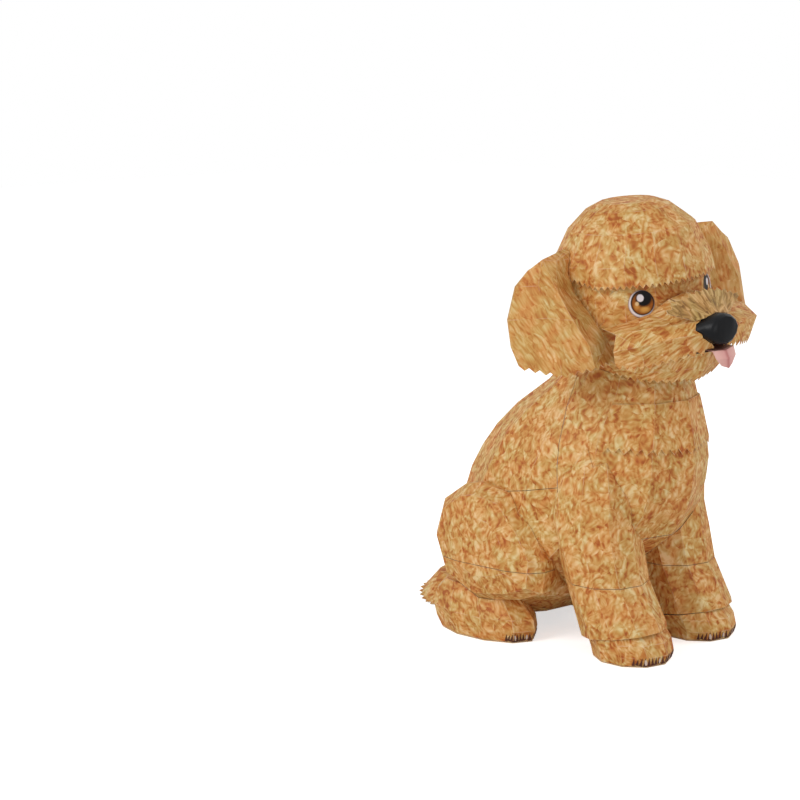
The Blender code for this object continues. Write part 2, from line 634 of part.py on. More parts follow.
def main():
    clear_scene()
    pose = head_pose()
    body = loft(body_rings())
    skull = build_skull(pose)
    head_clear = as_cutter("clear_head", grown(skull, GAP))
    body_clear = as_cutter("clear_body", grown(body, GAP))
    floor = as_cutter("cut_floor", slab((-HUGE, -HUGE, -HUGE), (HUGE, HUGE, CARD + GAP)))
    left, right = build_trunk(body, head_clear)
    seat_clear = build_rump(body, left, right)
    build_chest_ruff(build_forelegs(body_clear, floor))
    build_hind_legs(body_clear, seat_clear, floor)
    crown_clear = build_crown(pose)
    build_face(pose)
    build_muzzle(pose, build_nose_and_mouth(pose))
    build_ears(pose, head_clear, crown_clear)
    build_tail()
    stand_on_origin()


main()
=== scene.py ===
# Seated toy dog of folded printed card: its print, eyes, claws and nose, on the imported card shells.
import math

import bmesh
import bpy
from mathutils import Matrix, Vector
from mathutils.bvhtree import BVHTree


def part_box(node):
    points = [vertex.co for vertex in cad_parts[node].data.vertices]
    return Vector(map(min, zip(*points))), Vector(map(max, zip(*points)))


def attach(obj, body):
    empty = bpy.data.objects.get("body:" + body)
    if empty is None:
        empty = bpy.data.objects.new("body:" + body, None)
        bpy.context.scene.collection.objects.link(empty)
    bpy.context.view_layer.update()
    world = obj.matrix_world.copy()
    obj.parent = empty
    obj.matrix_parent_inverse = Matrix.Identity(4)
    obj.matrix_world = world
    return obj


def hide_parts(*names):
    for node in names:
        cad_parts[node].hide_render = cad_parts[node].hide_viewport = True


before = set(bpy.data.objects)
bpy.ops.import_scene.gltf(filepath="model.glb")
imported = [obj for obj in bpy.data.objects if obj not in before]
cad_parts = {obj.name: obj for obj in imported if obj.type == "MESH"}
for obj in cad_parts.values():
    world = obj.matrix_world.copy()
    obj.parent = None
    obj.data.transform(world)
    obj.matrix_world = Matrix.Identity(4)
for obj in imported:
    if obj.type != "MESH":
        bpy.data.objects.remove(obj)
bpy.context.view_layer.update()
scene = bpy.context.scene
print("frame loaded:", len(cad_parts), "card pieces")

# The dog's own centre line and head, in metres and degrees; the frame only shifts them in plan.
dogPlace = {"pawCentreY": -0.03475, "headY": -0.015, "headZ": 0.180, "headTurn": 13.0, "headTilt": 6.5}


def findShift():
    lowRight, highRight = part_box("forepaw_sole_right")
    lowLeft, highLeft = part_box("forepaw_sole_left")
    sideways = (lowRight.x + highLeft.x) / 2
    forward = (lowRight.y + highRight.y) / 2 - dogPlace["pawCentreY"]
    return Vector((sideways, forward, 0.0))


dogShift = findShift()
headPose = (
    Matrix.Translation(dogShift + Vector((0.0, dogPlace["headY"], dogPlace["headZ"])))
    @ Matrix.Rotation(math.radians(-dogPlace["headTurn"]), 4, "Z")
    @ Matrix.Rotation(math.radians(-dogPlace["headTilt"]), 4, "Y")
)


def onHead(x, y, z):
    return headPose @ Vector((x, y, z))


# Camera: the photograph's angle on the dog that faces right.
viewing = {"azimuth": -52.0, "elevation": 11.0, "distance": 1.0, "targetHeight": 0.110,
           "pixelsPerMetre": 1950.0, "middle": (611.0, 425.0), "image": 800.0, "sensor": 36.0,
           "near": 0.05, "far": 20.0}


def makeCamera():
    turn, rise = math.radians(viewing["azimuth"]), math.radians(viewing["elevation"])
    back = Vector((math.sin(turn) * math.cos(rise), -math.cos(turn) * math.cos(rise), math.sin(rise)))
    data = bpy.data.cameras.new("camera")
    data.sensor_width = viewing["sensor"]
    data.lens = viewing["pixelsPerMetre"] * viewing["distance"] / viewing["image"] * viewing["sensor"]
    data.shift_x = 0.5 - viewing["middle"][0] / viewing["image"]
    data.shift_y = viewing["middle"][1] / viewing["image"] - 0.5
    data.clip_start, data.clip_end = viewing["near"], viewing["far"]
    camera = bpy.data.objects.new("camera", data)
    scene.collection.objects.link(camera)
    camera.location = dogShift + Vector((0.0, 0.0, viewing["targetHeight"])) + back * viewing["distance"]
    camera.rotation_euler = (-back).to_track_quat("-Z", "Y").to_euler()
    scene.camera = camera


# Soft studio light: an even sky, which the camera sees as plain white, a key lamp on the camera's left, a rim
# lamp on its right and a low, wide fill from the front. Each lamp has its place, its size and its power.
studio = {"sky": 0.43, "floorColour": (0.94, 0.94, 0.94, 1.0), "floorSize": 6.0, "floorGlow": 0.62,
          "aim": (0.0, 0.0, 0.1),
          "lamps": (("keyLamp", (-1.55, 0.40, 1.15), 1.0, 15.5), ("rimLamp", (1.15, -1.00, 1.30), 0.8, 7.6),
                    ("fillLamp", (-0.9, -1.9, 0.35), 1.4, 8.0))}


def addNode(tree, kind, inputs=None, **settings):
    made = tree.nodes.new(kind)
    for key, value in settings.items():
        setattr(made, key, value)
    for key, value in (inputs or {}).items():
        if isinstance(value, bpy.types.NodeSocket):
            tree.links.new(value, made.inputs[key])
        else:
            made.inputs[key].default_value = value
    return made


def calc(tree, operation, *values):
    return addNode(tree, "ShaderNodeMath", dict(enumerate(values)), operation=operation).outputs[0]


def vectorCalc(tree, operation, *values):
    made = addNode(tree, "ShaderNodeVectorMath", dict(enumerate(values)), operation=operation)
    return made.outputs["Value" if operation in ("DOT_PRODUCT", "LENGTH", "DISTANCE") else "Vector"]


def makeStudio():
    world = bpy.data.worlds.new("studio")
    scene.world = world
    world.use_nodes = True
    tree = world.node_tree
    tree.nodes.clear()
    rays = addNode(tree, "ShaderNodeLightPath")
    seen = calc(tree, "MAXIMUM", rays.outputs["Is Camera Ray"], rays.outputs["Is Transmission Ray"])
    seen = calc(tree, "MAXIMUM", seen, rays.outputs["Is Glossy Ray"])
    level = calc(tree, "ADD", calc(tree, "MULTIPLY", seen, 1.0 - studio["sky"]), studio["sky"])
    sky = addNode(tree, "ShaderNodeBackground", {"Color": (1.0, 1.0, 1.0, 1.0), "Strength": level})
    addNode(tree, "ShaderNodeOutputWorld", {"Surface": sky.outputs[0]})
    for name, place, size, power in studio["lamps"]:
        data = bpy.data.lights.new(name, "AREA")
        data.shape, data.size, data.energy = "DISK", size, power
        lamp = bpy.data.objects.new(name, data)
        scene.collection.objects.link(lamp)
        lamp.location = place
        lamp.rotation_euler = (Vector(studio["aim"]) - Vector(place)).to_track_quat("-Z", "Y").to_euler()
    half = studio["floorSize"] / 2
    mesh = bpy.data.meshes.new("floor")
    mesh.from_pydata([(-half, -half, 0), (half, -half, 0), (half, half, 0), (-half, half, 0)], [],
                     [(0, 1, 2, 3)])
    floor = bpy.data.objects.new("floor", mesh)
    scene.collection.objects.link(floor)
    paint = bpy.data.materials.new("floorPaint")
    paint.use_nodes = True
    tree = paint.node_tree
    tree.nodes.clear()
    rays = addNode(tree, "ShaderNodeLightPath")
    matt = addNode(tree, "ShaderNodeBsdfDiffuse", {"Color": studio["floorColour"]})
    glow = calc(tree, "MULTIPLY", rays.outputs["Is Camera Ray"], studio["floorGlow"])
    light = addNode(tree, "ShaderNodeEmission", {"Color": (1.0, 1.0, 1.0, 1.0), "Strength": glow})
    both = addNode(tree, "ShaderNodeAddShader", {0: matt.outputs[0], 1: light.outputs[0]})
    addNode(tree, "ShaderNodeOutputMaterial", {"Surface": both.outputs[0]})
    mesh.materials.append(paint)


makeCamera()
makeStudio()
scene.view_settings.view_transform = "Standard"
print("camera and studio ready")


# Fur print. Colours run from the shadow between curls to the palest tips; the crest's hairs are browner.
# Patches of the print lean to olive or to orange. Sizes are in metres, scales in waves to a metre.
furColours = {"shadow": (0.380, 0.092, 0.013, 1.0), "rust": (0.505, 0.185, 0.036, 1.0),
              "tan": (0.600, 0.305, 0.084, 1.0), "sand": (0.665, 0.400, 0.142, 1.0),
              "cream": (0.800, 0.600, 0.325, 1.0)}
crestColours = {"shadow": (0.190, 0.095, 0.022, 1.0), "rust": (0.300, 0.165, 0.045, 1.0),
                "tan": (0.430, 0.255, 0.080, 1.0), "sand": (0.530, 0.335, 0.125, 1.0),
                "cream": (0.690, 0.490, 0.240, 1.0)}
colourStops = {"shadow": 0.18, "rust": 0.34, "tan": 0.47, "sand": 0.58, "cream": 0.78}
furTints = {"olive": (0.915, 0.935, 0.83, 1.0), "orange": (1.01, 0.885, 0.80, 1.0)}
furPrint = {
    "tuft": 0.0082, "wander": 0.0034, "wanderScale": 110.0, "bend": 75.0, "layerShift": (0.37, 0.11, 0.23),
    "layers": ((0.60, 1.0, 1.0), (0.40, 0.62, 4.0)),  # each one's share, size and own number
    "strandStep": 50.0,  # sets the strands of one tuft apart from those of the next
    "tuftCore": 0.25, "tuftRim": 0.85, "coreLight": 0.03, "rimDark": 0.06, "tuftDepth": 0.10,
    "patch": 0.030, "patchDepth": 0.12, "blotch": 0.0065, "blotchDepth": 0.38,
    "level": 0.52, "contrast": 1.20, "shadeCore": 0.45,
    "huesPerBlotch": 0.7, "hueBend": 0.6, "hueFrom": 0.36, "hueTo": 0.64,
}
foldWear = {"angle": math.radians(15.0), "wide": 0.00032, "narrow": 0.00006, "strength": 0.24,
            "colour": (0.90, 0.74, 0.56, 1.0), "farAway": 0.05, "rubScale": 160.0, "rubFrom": 0.42,
            "rubTo": 0.62}


def scaled(tree, vector, factor):
    made = addNode(tree, "ShaderNodeVectorMath", {0: vector, "Scale": factor}, operation="SCALE")
    return made.outputs[0]


def blended(tree, under, over, mask):
    made = addNode(tree, "ShaderNodeMix", {"Factor": mask, 6: under, 7: over}, data_type="RGBA")
    return made.outputs[2]


def stepped(tree, value, low, high, atLow=0.0, atHigh=1.0):
    made = addNode(tree, "ShaderNodeMapRange", {0: value, 1: low, 2: high, 3: atLow, 4: atHigh})
    return made.outputs[0]


# Paper: fine fibre in the bump, slightly uneven sheen.
paper = {"fibreScale": 2600.0, "bump": 0.10, "bumpDepth": 0.0001, "roughness": 0.62, "uneven": 0.06,
         "shine": 0.35}


def cardShader(tree, colour, roughness=paper["roughness"], shine=paper["shine"]):
    position = tree.nodes["texture"].outputs["Object"]
    fibre = addNode(tree, "ShaderNodeTexNoise", {"Vector": position, "Scale": paper["fibreScale"],
                                                 "Detail": 3.0})
    bump = addNode(tree, "ShaderNodeBump", {"Strength": paper["bump"], "Distance": paper["bumpDepth"],
                                            "Height": fibre.outputs[0]})
    sheen = stepped(tree, fibre.outputs[0], 0.0, 1.0, roughness - paper["uneven"],
                    roughness + paper["uneven"])
    shader = addNode(tree, "ShaderNodeBsdfPrincipled",
                     {"Base Color": colour, "Roughness": sheen, "Specular IOR Level": shine,
                      "Normal": bump.outputs[0]})
    addNode(tree, "ShaderNodeOutputMaterial", {"Surface": shader.outputs[0]})


def newMaterial(name):
    made = bpy.data.materials.new(name)
    made.use_nodes = True
    made.node_tree.nodes.clear()
    addNode(made.node_tree, "ShaderNodeTexCoord", name="texture")
    return made


# Places the five colours of the print along one value.
def furRamp(tree, value, colours):
    ramp = addNode(tree, "ShaderNodeValToRGB", {0: value})
    while len(ramp.color_ramp.elements) < len(colourStops):
        ramp.color_ramp.elements.new(0.5)
    for element, (colour, place) in zip(ramp.color_ramp.elements, colourStops.items()):
        element.position, element.color = place, colours[colour]
    return ramp.outputs[0]


# Short bent hairs within the card's surface: each tuft follows the flow, turned a little its own way.
def tuftStrands(tree, flow, spread, size, length, width, wander, seed):
    position, normal = tree.nodes["texture"].outputs["Object"], tree.nodes["texture"].outputs["Normal"]
    moved = vectorCalc(tree, "ADD", position, tuple(seed * shift for shift in furPrint["layerShift"]))
    swirl = addNode(tree, "ShaderNodeTexNoise",
                    {"Vector": moved, "Scale": furPrint["wanderScale"], "Detail": 1.0})
    push = vectorCalc(tree, "SUBTRACT", swirl.outputs["Color"], (0.5, 0.5, 0.5))
    warped = vectorCalc(tree, "ADD", moved, scaled(tree, push, wander * 2))
    tuft = addNode(tree, "ShaderNodeTexVoronoi", {"Vector": warped, "Scale": 1.0 / size})
    turn = scaled(tree, vectorCalc(tree, "SUBTRACT", tuft.outputs["Color"], (0.5, 0.5, 0.5)), spread * 2)
    aim = vectorCalc(tree, "ADD", flow, turn)
    across = vectorCalc(tree, "NORMALIZE", vectorCalc(tree, "CROSS_PRODUCT", normal, aim))
    along = vectorCalc(tree, "CROSS_PRODUCT", across, normal)
    local = vectorCalc(tree, "SUBTRACT", warped, tuft.outputs["Position"])
    runs = vectorCalc(tree, "DOT_PRODUCT", local, along)
    tone = addNode(tree, "ShaderNodeSeparateXYZ", {0: tuft.outputs["Color"]})
    bend = calc(tree, "MULTIPLY", calc(tree, "SUBTRACT", tone.outputs[0], 0.5), furPrint["bend"] * 2)
    bent = calc(tree, "MULTIPLY", calc(tree, "MULTIPLY", runs, runs), bend)
    steps = calc(tree, "ADD", vectorCalc(tree, "DOT_PRODUCT", local, across), bent)
    hair = addNode(tree, "ShaderNodeCombineXYZ",
                   {0: calc(tree, "DIVIDE", runs, length), 1: calc(tree, "DIVIDE", steps, width),
                    2: calc(tree, "MULTIPLY", tone.outputs[0], furPrint["strandStep"])})
    strands = addNode(tree, "ShaderNodeTexNoise", {"Vector": hair.outputs[0], "Scale": 1.0, "Detail": 0.0})
    rim = stepped(tree, tuft.outputs["Distance"], furPrint["tuftCore"], furPrint["tuftRim"],
                  furPrint["coreLight"], -furPrint["rimDark"])
    shade = calc(tree, "MULTIPLY", calc(tree, "SUBTRACT", tone.outputs[1], 0.5), furPrint["tuftDepth"])
    return calc(tree, "ADD", calc(tree, "ADD", strands.outputs[0], rim), shade)


# The fur print of one kind of piece; hairs follow the flow, or run away from a centre. Darkening lowers the
# whole print. Each shade is painted shade that darkens the print round a place: its reach and its depth.
def furMaterial(name, flow=(0.0, 0.30, -1.0), centre=None, spread=0.85, length=0.0042, width=0.0022,
                darkening=0.0, wander=furPrint["wander"], contrast=furPrint["contrast"], colours=furColours,
                shades=()):
    made = newMaterial(name)
    tree = made.node_tree
    position = tree.nodes["texture"].outputs["Object"]
    if centre is not None:
        away = vectorCalc(tree, "NORMALIZE", vectorCalc(tree, "SUBTRACT", position, tuple(centre)))
        flow = vectorCalc(tree, "ADD", away, tuple(flow))
    value = None
    for share, ratio, seed in furPrint["layers"]:
        strands = tuftStrands(tree, flow, spread, furPrint["tuft"] * ratio, length * ratio, width * ratio,
                              wander, seed)
        part = calc(tree, "MULTIPLY", strands, share)
        value = part if value is None else calc(tree, "ADD", value, part)
    patches = addNode(tree, "ShaderNodeTexNoise", {"Vector": position, "Scale": 1.0 / furPrint["patch"],
                                                   "Detail": 1.0})
    blotches = addNode(tree, "ShaderNodeTexNoise", {"Vector": position, "Scale": 1.0 / furPrint["blotch"],
                                                    "Detail": 1.0})
    drift = calc(tree, "MULTIPLY", calc(tree, "SUBTRACT", patches.outputs[0], 0.5), furPrint["patchDepth"])
    fleck = calc(tree, "MULTIPLY", calc(tree, "SUBTRACT", blotches.outputs[0], 0.5),
                 furPrint["blotchDepth"])
    drift = calc(tree, "ADD", drift, fleck)
    value = calc(tree, "MULTIPLY_ADD", calc(tree, "SUBTRACT", value, 0.5), contrast,
                 furPrint["level"] - darkening)
    value = calc(tree, "ADD", value, drift)
    for place, reach, depth in shades:
        gap = vectorCalc(tree, "DISTANCE", position, tuple(place))
        dark = stepped(tree, gap, reach * furPrint["shadeCore"], reach, -depth, 0.0)
        value = calc(tree, "ADD", value, dark)
    fold = addNode(tree, "ShaderNodeAttribute", attribute_name="foldDistance")
    sides = addNode(tree, "ShaderNodeSeparateXYZ", {0: fold.outputs["Vector"]})
    near = calc(tree, "MINIMUM", calc(tree, "MINIMUM", sides.outputs[0], sides.outputs[1]), sides.outputs[2])
    line = stepped(tree, near, foldWear["narrow"], foldWear["wide"], foldWear["strength"], 0.0)
    rub = addNode(tree, "ShaderNodeTexNoise", {"Vector": position, "Scale": foldWear["rubScale"],
                                               "Detail": 2.0})
    rubbed = stepped(tree, rub.outputs[0], foldWear["rubFrom"], foldWear["rubTo"])
    worn = calc(tree, "MULTIPLY", line, rubbed)
    hue = addNode(tree, "ShaderNodeTexNoise",
                  {"Vector": position, "Scale": furPrint["huesPerBlotch"] / furPrint["blotch"],
                   "Detail": 1.0, "Distortion": furPrint["hueBend"]})
    tint = blended(tree, furTints["orange"], furTints["olive"],
                   stepped(tree, hue.outputs[0], furPrint["hueFrom"], furPrint["hueTo"]))
    inked = addNode(tree, "ShaderNodeMix", {"Factor": 1.0, 6: furRamp(tree, value, colours), 7: tint},
                    data_type="RGBA", blend_type="MULTIPLY")
    cardShader(tree, blended(tree, inked.outputs[2], foldWear["colour"], worn))
    return made


def plainMaterial(name, colour, roughness=paper["roughness"], shine=paper["shine"]):
    made = newMaterial(name)
    cardShader(made.node_tree, colour, roughness, shine)
    return made


plainCard = plainMaterial("plainCard", (0.90, 0.87, 0.82, 1.0))
cutEdge = plainMaterial("cutEdge", (0.70, 0.47, 0.25, 1.0))
headTurn = headPose.to_3x3()
noseCentre = onHead(0.0, -0.052, -0.010)
# Painted shadow under the crown's brow fringe, darkening the face print just above each eye.
browShadowPlaces = [onHead(way * 0.016, -0.036, 0.010) for way in (-1, 1)]
coat = furMaterial("curlyCoat")
# Painted shade: the belly, the seat, the soles and the backs that show in the mouth carry this darker copy of
# the print.
shadedCoat = furMaterial("shadedCoat", darkening=0.08)
pawCoat = furMaterial("pawCoat", flow=(0.0, -0.7, -0.7), spread=0.5, darkening=0.02)
crownCoat = furMaterial("crownCoat", flow=(0.0, -0.3, -1.0), spread=0.9)
faceCoat = furMaterial("faceCoat", flow=(0.0, 0.0, -0.3), centre=noseCentre, spread=0.5,
                       shades=[(place, 0.015, 0.05) for place in browShadowPlaces])
muzzleCoat = furMaterial("muzzleCoat", flow=(0.0, 0.0, -0.35), centre=noseCentre, spread=0.22,
                         length=0.0085, width=0.0016, wander=0.0014)
crestCoat = furMaterial("crestCoat", flow=(0.0, 0.0, 0.4), centre=noseCentre, spread=0.05, length=0.0120,
                        width=0.0016, wander=0.0004, contrast=1.3, colours=crestColours)
tailCoat = furMaterial("tailCoat", flow=(0.0, 1.0, -0.1), spread=0.55, length=0.0050)
earCoat = {
    side: furMaterial("earCoat" + side.capitalize(), flow=headTurn @ Vector((-way * 0.30, -0.40, -0.85)),
                      spread=0.09, length=0.0085, width=0.0015, darkening=0.01, wander=0.0010, contrast=0.85)
    for side, way in (("right", -1), ("left", 1))
}
print("fur prints ready")


# Which print each card piece carries, and what its printed side faces away from: a point, or the middle of
# the piece's own box, moved as insideMoved says.
insideMoved = {"middle": Vector((0.0, 0.0, 0.0)), "above": Vector((0.0, 0.0, 0.2)),
               "chest": Vector((0.0, 0.05, 0.0))}
headCentre, tailUnder = onHead(0.0, 0.0, 0.0), Vector((0.0, 0.10, -0.2)) + dogShift
cardPieces = {
    "chest": (coat, "middle"), "back_right": (coat, "middle"), "back_left": (coat, "middle"),
    "belly": (shadedCoat, "middle"), "rump_right": (coat, "middle"), "rump_left": (coat, "middle"),
    "seat": (shadedCoat, "above"), "chest_ruff": (coat, "chest"),
    "head_core": (crownCoat, headCentre), "crown": (crownCoat, headCentre), "face": (faceCoat, headCentre),
    "muzzle_bridge": (muzzleCoat, headCentre), "moustache_right": (muzzleCoat, headCentre),
    "moustache_left": (muzzleCoat, headCentre), "nose_crest": (crestCoat, headCentre),
    "chin": (muzzleCoat, headCentre), "tail": (tailCoat, tailUnder),
    "ear_right": (earCoat["right"], headCentre), "ear_left": (earCoat["left"], headCentre),
    "ear_back_right": (earCoat["right"], headCentre), "ear_back_left": (earCoat["left"], headCentre),
}
for side in ("right", "left"):
    for limb in ("upper_foreleg", "lower_foreleg", "thigh", "shank"):
        cardPieces[f"{limb}_{side}"] = (coat, "middle")
    for limb in ("forepaw", "hind_foot"):
        cardPieces[f"{limb}_{side}"] = (pawCoat, "middle")
    for sole in ("forepaw_sole", "hind_sole"):
        cardPieces[f"{sole}_{side}"] = (shadedCoat, "above")

# How the sides of a card shell are told apart: a ray that goes in from a face meets the other side within
# reach, while neighbours on one side have normals whose cosine is above the turn.
cardWall = 0.00035
shell = {"start": 0.00002, "reach": cardWall * 1.9, "turn": -0.2, "weld": 0.000002, "shortest": 1e-7}
backPrinted = ("moustache_right", "moustache_left", "muzzle_bridge", "chin")  # their backs show in the mouth


# Gives index 0 to the printed side, 1 to the unprinted side and 2 to the cut edges.
def printedFaces(bm, inside):
    bm.normal_update()
    tree = BVHTree.FromBMesh(bm)
    walls = set()
    for face in bm.faces:
        face.material_index = 2
        middle = face.calc_center_median()
        hit = tree.ray_cast(middle - face.normal * shell["start"], -face.normal, shell["reach"])
        if hit[0] is not None:
            face.material_index = 1
            walls.add(face)
    while walls:
        group, waiting = [], [walls.pop()]
        while waiting:
            face = waiting.pop()
            group.append(face)
            for edge in face.edges:
                for other in edge.link_faces:
                    if other in walls and other.normal.dot(face.normal) > shell["turn"]:
                        walls.discard(other)
                        waiting.append(other)
        outward = sum(f.calc_area() * f.normal.dot(f.calc_center_median() - inside) for f in group)
        if outward > 0:
            for face in group:
                face.material_index = 0


# Stores each corner's distance to the sharp edges of its printed face, for the rubbed lines of the print.
def markFolds(bm):
    layer = bm.loops.layers.float_vector.new("foldDistance")
    for face in bm.faces:
        folded = []
        for loop in face.loops:
            others = [f for f in loop.edge.link_faces if f is not face]
            sharp = bool(others) and face.normal.angle(others[0].normal, 0.0) > foldWear["angle"]
            folded.append(sharp and face.material_index == 0)
        for loop in face.loops:
            distances = []
            for edgeLoop, sharp in zip(face.loops, folded):
                height = 2 * face.calc_area() / max(edgeLoop.edge.calc_length(), shell["shortest"])
                onEdge = loop.vert in edgeLoop.edge.verts
                distances.append((0.0 if onEdge else height) if sharp else foldWear["farAway"])
            loop[layer] = distances


def mergedCopy(name):
    bm = bmesh.new()
    bm.from_mesh(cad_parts[name].data)
    bmesh.ops.remove_doubles(bm, verts=bm.verts, dist=shell["weld"])
    bm.normal_update()
    return bm


def placePiece(bm, name, materials, replaced=None):
    mesh = bpy.data.meshes.new(name)
    bm.to_mesh(mesh)
    bm.free()
    for material in materials:
        mesh.materials.append(material)
    piece = bpy.data.objects.new(name, mesh)
    scene.collection.objects.link(piece)
    if replaced:
        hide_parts(replaced)
    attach(piece, "root")
    return piece


def dressCard(name, printed, inside):
    bm = mergedCopy(name)
    low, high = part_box(name)
    if not isinstance(inside, Vector):
        inside = (low + high) / 2 + insideMoved[inside]
    printedFaces(bm, inside)
    markFolds(bm)
    # Backs that show in the mouth carry the darker print as painted shade; other backs are plain card.
    back = shadedCoat if name in backPrinted else plainCard
    return placePiece(bm, name + "_card", (printed, back, cutEdge), name)


card = {name: dressCard(name, *settings) for name, settings in cardPieces.items()}
print("card pieces dressed:", len(card))


# Nose: black card whose folds are rolled soft. Tongue: a crease runs down its middle, its sides are paler,
# and painted shade darkens it where it goes into the mouth. The root is its place on the head.
noseLook = {"colour": (0.0075, 0.0078, 0.0090, 1.0), "roughness": 0.34, "shine": 0.15,
            "softFold": math.radians(50.0)}
tongueLook = {
    "root": (0.0, -0.065, -0.025), "colour": (0.70, 0.34, 0.31, 1.0), "roughness": 0.5,
    "edge": (0.80, 0.46, 0.40, 1.0), "side": 0.0052, "edgeFrom": 0.35, "edgeTo": 1.3,
    "blushScale": 300.0, "blushReach": 0.002,
    "crease": (0.45, 0.13, 0.12, 1.0), "creaseWidth": 0.0007, "creaseDepth": 0.75,
    # The mouth colour is painted shade, reached where the tongue goes into the mouth.
    "mouth": (0.10, 0.035, 0.025, 1.0), "mouthShadeFrom": 0.0006, "mouthShadeTo": 0.0030, "mouthShadeDepth": 0.9,
}
mouthColour = (0.06, 0.022, 0.014, 1.0)


def makeNose():
    bm = mergedCopy("nose")
    for face in bm.faces:
        face.smooth = True
    for edge in bm.edges:
        edge.smooth = len(edge.link_faces) == 2 and edge.calc_face_angle(0.0) < noseLook["softFold"]
    black = plainMaterial("noseBlack", noseLook["colour"], noseLook["roughness"], noseLook["shine"])
    placePiece(bm, "nose_card", (black,), "nose")


def tongueMaterial():
    made = newMaterial("tonguePink")
    tree = made.node_tree
    position = tree.nodes["texture"].outputs["Object"]
    local = vectorCalc(tree, "SUBTRACT", position, tuple(onHead(*tongueLook["root"])))
    sideways, inwards = (tuple(headTurn @ Vector(way)) for way in ((1.0, 0.0, 0.0), (0.0, 1.0, 0.0)))
    offset = calc(tree, "ABSOLUTE", vectorCalc(tree, "DOT_PRODUCT", local, sideways))
    inward = vectorCalc(tree, "DOT_PRODUCT", local, inwards)
    blush = addNode(tree, "ShaderNodeTexNoise", {"Vector": local, "Scale": tongueLook["blushScale"],
                                                 "Detail": 2.0})
    uneven = calc(tree, "ADD", offset, calc(tree, "MULTIPLY", blush.outputs[0], tongueLook["blushReach"]))
    pale = stepped(tree, uneven, tongueLook["side"] * tongueLook["edgeFrom"],
                   tongueLook["side"] * tongueLook["edgeTo"])
    creased = stepped(tree, offset, 0.0, tongueLook["creaseWidth"] * 2, tongueLook["creaseDepth"], 0.0)
    # Painted shade: the tongue darkens towards the mouth.
    dark = stepped(tree, inward, tongueLook["mouthShadeFrom"], tongueLook["mouthShadeTo"], 0.0,
                   tongueLook["mouthShadeDepth"])
    colour = blended(tree, tongueLook["colour"], tongueLook["edge"], pale)
    colour = blended(tree, colour, tongueLook["crease"], creased)
    colour = blended(tree, colour, tongueLook["mouth"], dark)
    cardShader(tree, colour, tongueLook["roughness"])
    return made


makeNose()
mouthParts = {"tongue": tongueMaterial(), "mouth": plainMaterial("mouthDark", mouthColour)}
for name, material in mouthParts.items():
    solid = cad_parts[name]
    solid.data.materials.clear()
    solid.data.materials.append(material)
print("nose, tongue and mouth ready")


# Eyes: thin printed rounds that lie on the face, found by rays from in front of it. Each spot of the print
# has its place on the round, its size, how soft its edge is, and its colour; across is counted towards the
# muzzle.
eyeShape = {"spread": 0.0213, "height": 0.0010, "across": 0.00545, "tall": 0.0068, "rings": 10, "steps": 48,
            "rayStart": -0.2, "lift": 0.00012, "thickness": 0.0001}
eyePrint = {
    "rim": (0.30, 0.13, 0.07, 1.0), "roughness": 0.45, "shine": 0.12,
    "spots": (((0.0, 0.0), (0.95, 0.95), 0.06, (0.80, 0.74, 0.74, 1.0)),
              ((0.09, 0.07), (0.89, 0.90), 0.04, (0.010, 0.007, 0.007, 1.0)),
              ((0.09, 0.04), (0.78, 0.78), 0.08, (0.33, 0.100, 0.013, 1.0)),
              ((0.22, -0.42), (0.34, 0.20), 0.45, (0.66, 0.34, 0.075, 1.0)),
              ((-0.34, -0.12), (0.20, 0.26), 0.45, (0.58, 0.26, 0.05, 1.0)),
              ((0.20, 0.36), (0.62, 0.56), 0.16, (0.006, 0.005, 0.005, 1.0)),
              ((-0.05, 0.43), (0.26, 0.27), 0.12, (0.80, 0.74, 0.76, 1.0)),
              ((-0.33, 0.04), (0.14, 0.15), 0.30, (0.76, 0.52, 0.26, 1.0))),
}


def eyeMaterial():
    made = newMaterial("eyePrint")
    tree = made.node_tree
    place = addNode(tree, "ShaderNodeUVMap", uv_map="eyeMap").outputs[0]
    colour = eyePrint["rim"]
    for (across, high), (wide, tall), soft, paint in eyePrint["spots"]:
        local = vectorCalc(tree, "SUBTRACT", place, (across, high, 0.0))
        reach = vectorCalc(tree, "LENGTH", vectorCalc(tree, "DIVIDE", local, (wide, tall, 1.0)))
        colour = blended(tree, colour, paint, stepped(tree, reach, 1.0 + soft, 1.0 - soft))
    cardShader(tree, colour, eyePrint["roughness"], eyePrint["shine"])
    return made


def makeEye(side, way, printed):
    bm = bmesh.new()
    bm.from_mesh(card["face"].data)
    surface = BVHTree.FromBMesh(bm)
    bm.free()
    rings, steps = eyeShape["rings"], eyeShape["steps"]
    forward = headTurn @ Vector((0.0, -1.0, 0.0))
    points, maps = [], []
    for ring in range(rings + 1):
        for step in range(steps if ring else 1):
            angle = math.tau * step / steps
            x, z = math.cos(angle) * ring / rings, math.sin(angle) * ring / rings
            start = onHead(way * eyeShape["spread"] + x * eyeShape["across"], eyeShape["rayStart"],
                           eyeShape["height"] + z * eyeShape["tall"])
            hit = surface.ray_cast(start, -forward)
            points.append(hit[0] + hit[1] * eyeShape["lift"])
            maps.append((-way * x, z))
    faces = [(0, 1 + step, 1 + (step + 1) % steps) for step in range(steps)]
    for ring in range(1, rings):
        inner, outer = 1 + (ring - 1) * steps, 1 + ring * steps
        for step in range(steps):
            after = (step + 1) % steps
            faces.append((inner + step, outer + step, outer + after, inner + after))
    mesh = bpy.data.meshes.new("eye_" + side)
    mesh.from_pydata(points, [], faces)
    layer = mesh.uv_layers.new(name="eyeMap")
    for loop in mesh.loops:
        layer.data[loop.index].uv = maps[loop.vertex_index]
    if mesh.polygons[0].normal.dot(forward) < 0:
        mesh.flip_normals()
    mesh.materials.append(printed)
    eye = bpy.data.objects.new("eye_" + side, mesh)
    scene.collection.objects.link(eye)
    thicken = eye.modifiers.new("card", "SOLIDIFY")
    thicken.thickness, thicken.offset = eyeShape["thickness"], 1.0
    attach(eye, "root")


eyePrinted = eyeMaterial()
makeEye("right", -1, eyePrinted)
makeEye("left", 1, eyePrinted)
print("eyes ready")


